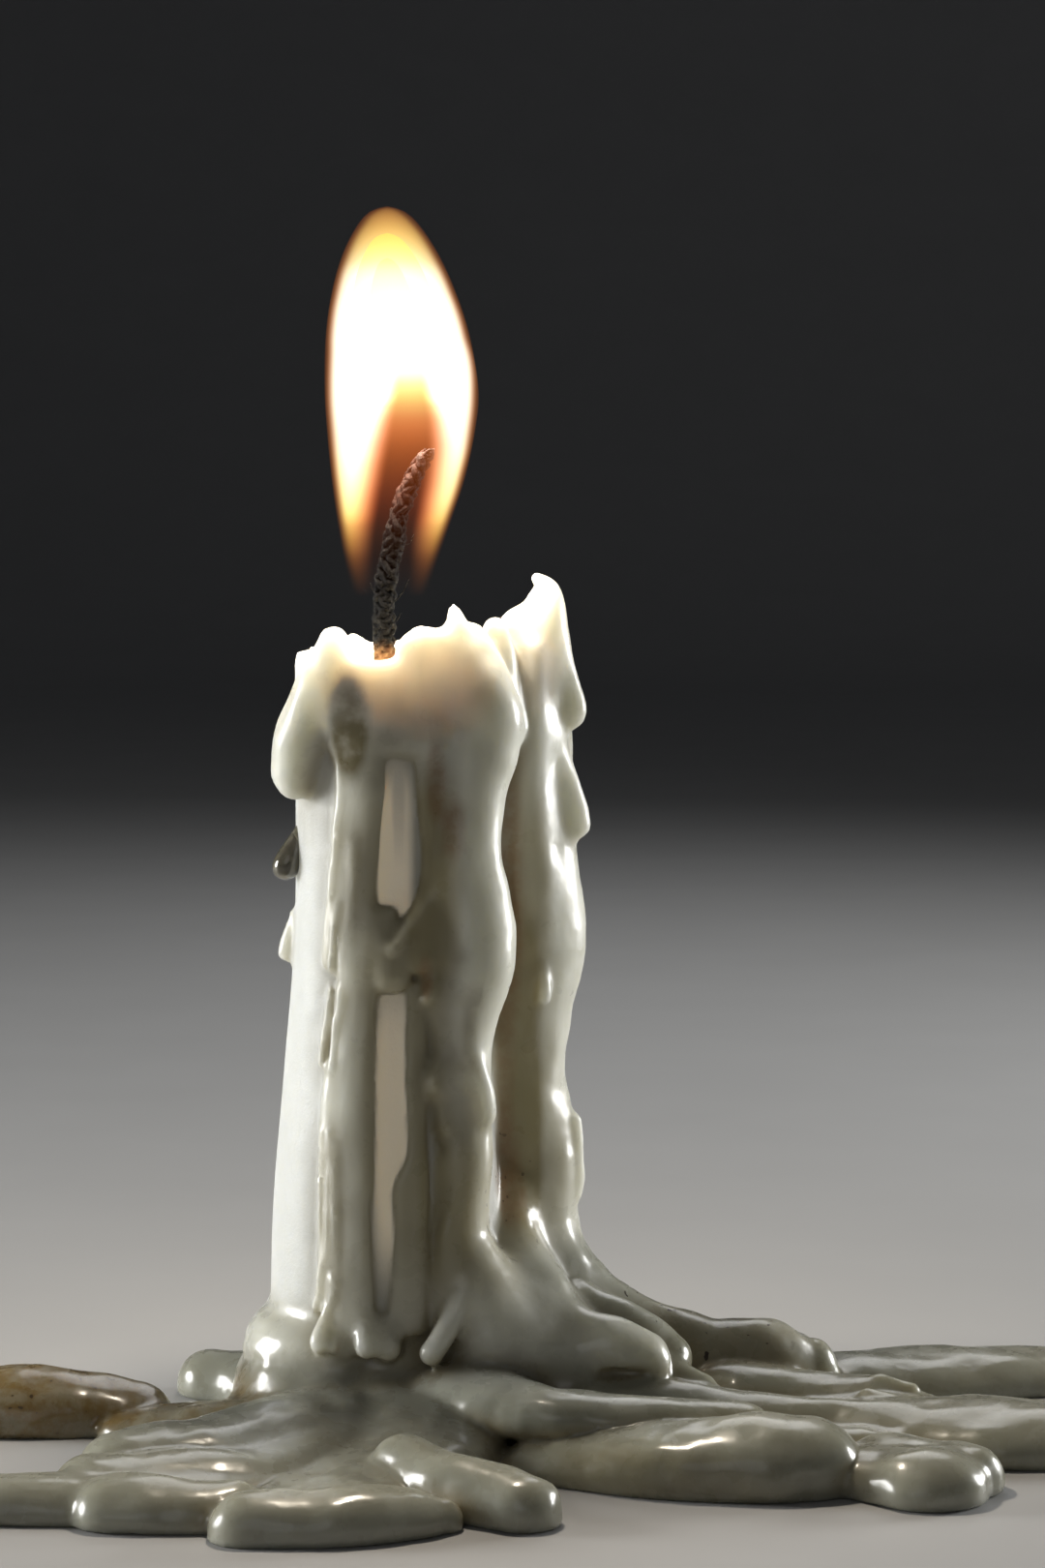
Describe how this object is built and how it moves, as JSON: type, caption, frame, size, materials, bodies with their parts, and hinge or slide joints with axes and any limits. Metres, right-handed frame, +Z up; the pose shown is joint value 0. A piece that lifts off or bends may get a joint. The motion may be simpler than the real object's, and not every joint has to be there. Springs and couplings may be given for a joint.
{
  "type": "melted candle",
  "caption": "Burning, half-melted wax candle with frozen drips, a fused side column of built-up wax and a pool of set wax that it stands in.",
  "frame": {"origin": "on the table under the wax, on the axis of the wick and of the candle", "axes": "+X to the viewer's right along the pool's long side, +Y to the rear, +Z up along the candle"},
  "size_m": [0.1292, 0.0836, 0.1242],
  "materials": {
    "wax": "ivory-white paraffin wax, glossy where it ran and set, finely frosted on the bare candle",
    "wick": "braided cotton, brown at the wax and charred black above",
    "flame": "glowing gas, near white in the middle and orange at the edge"
  },
  "bodies": {
    "root": {"wax": "wax", "wick": "wick", "flame": "flame"}
  },
  "joints": []
}
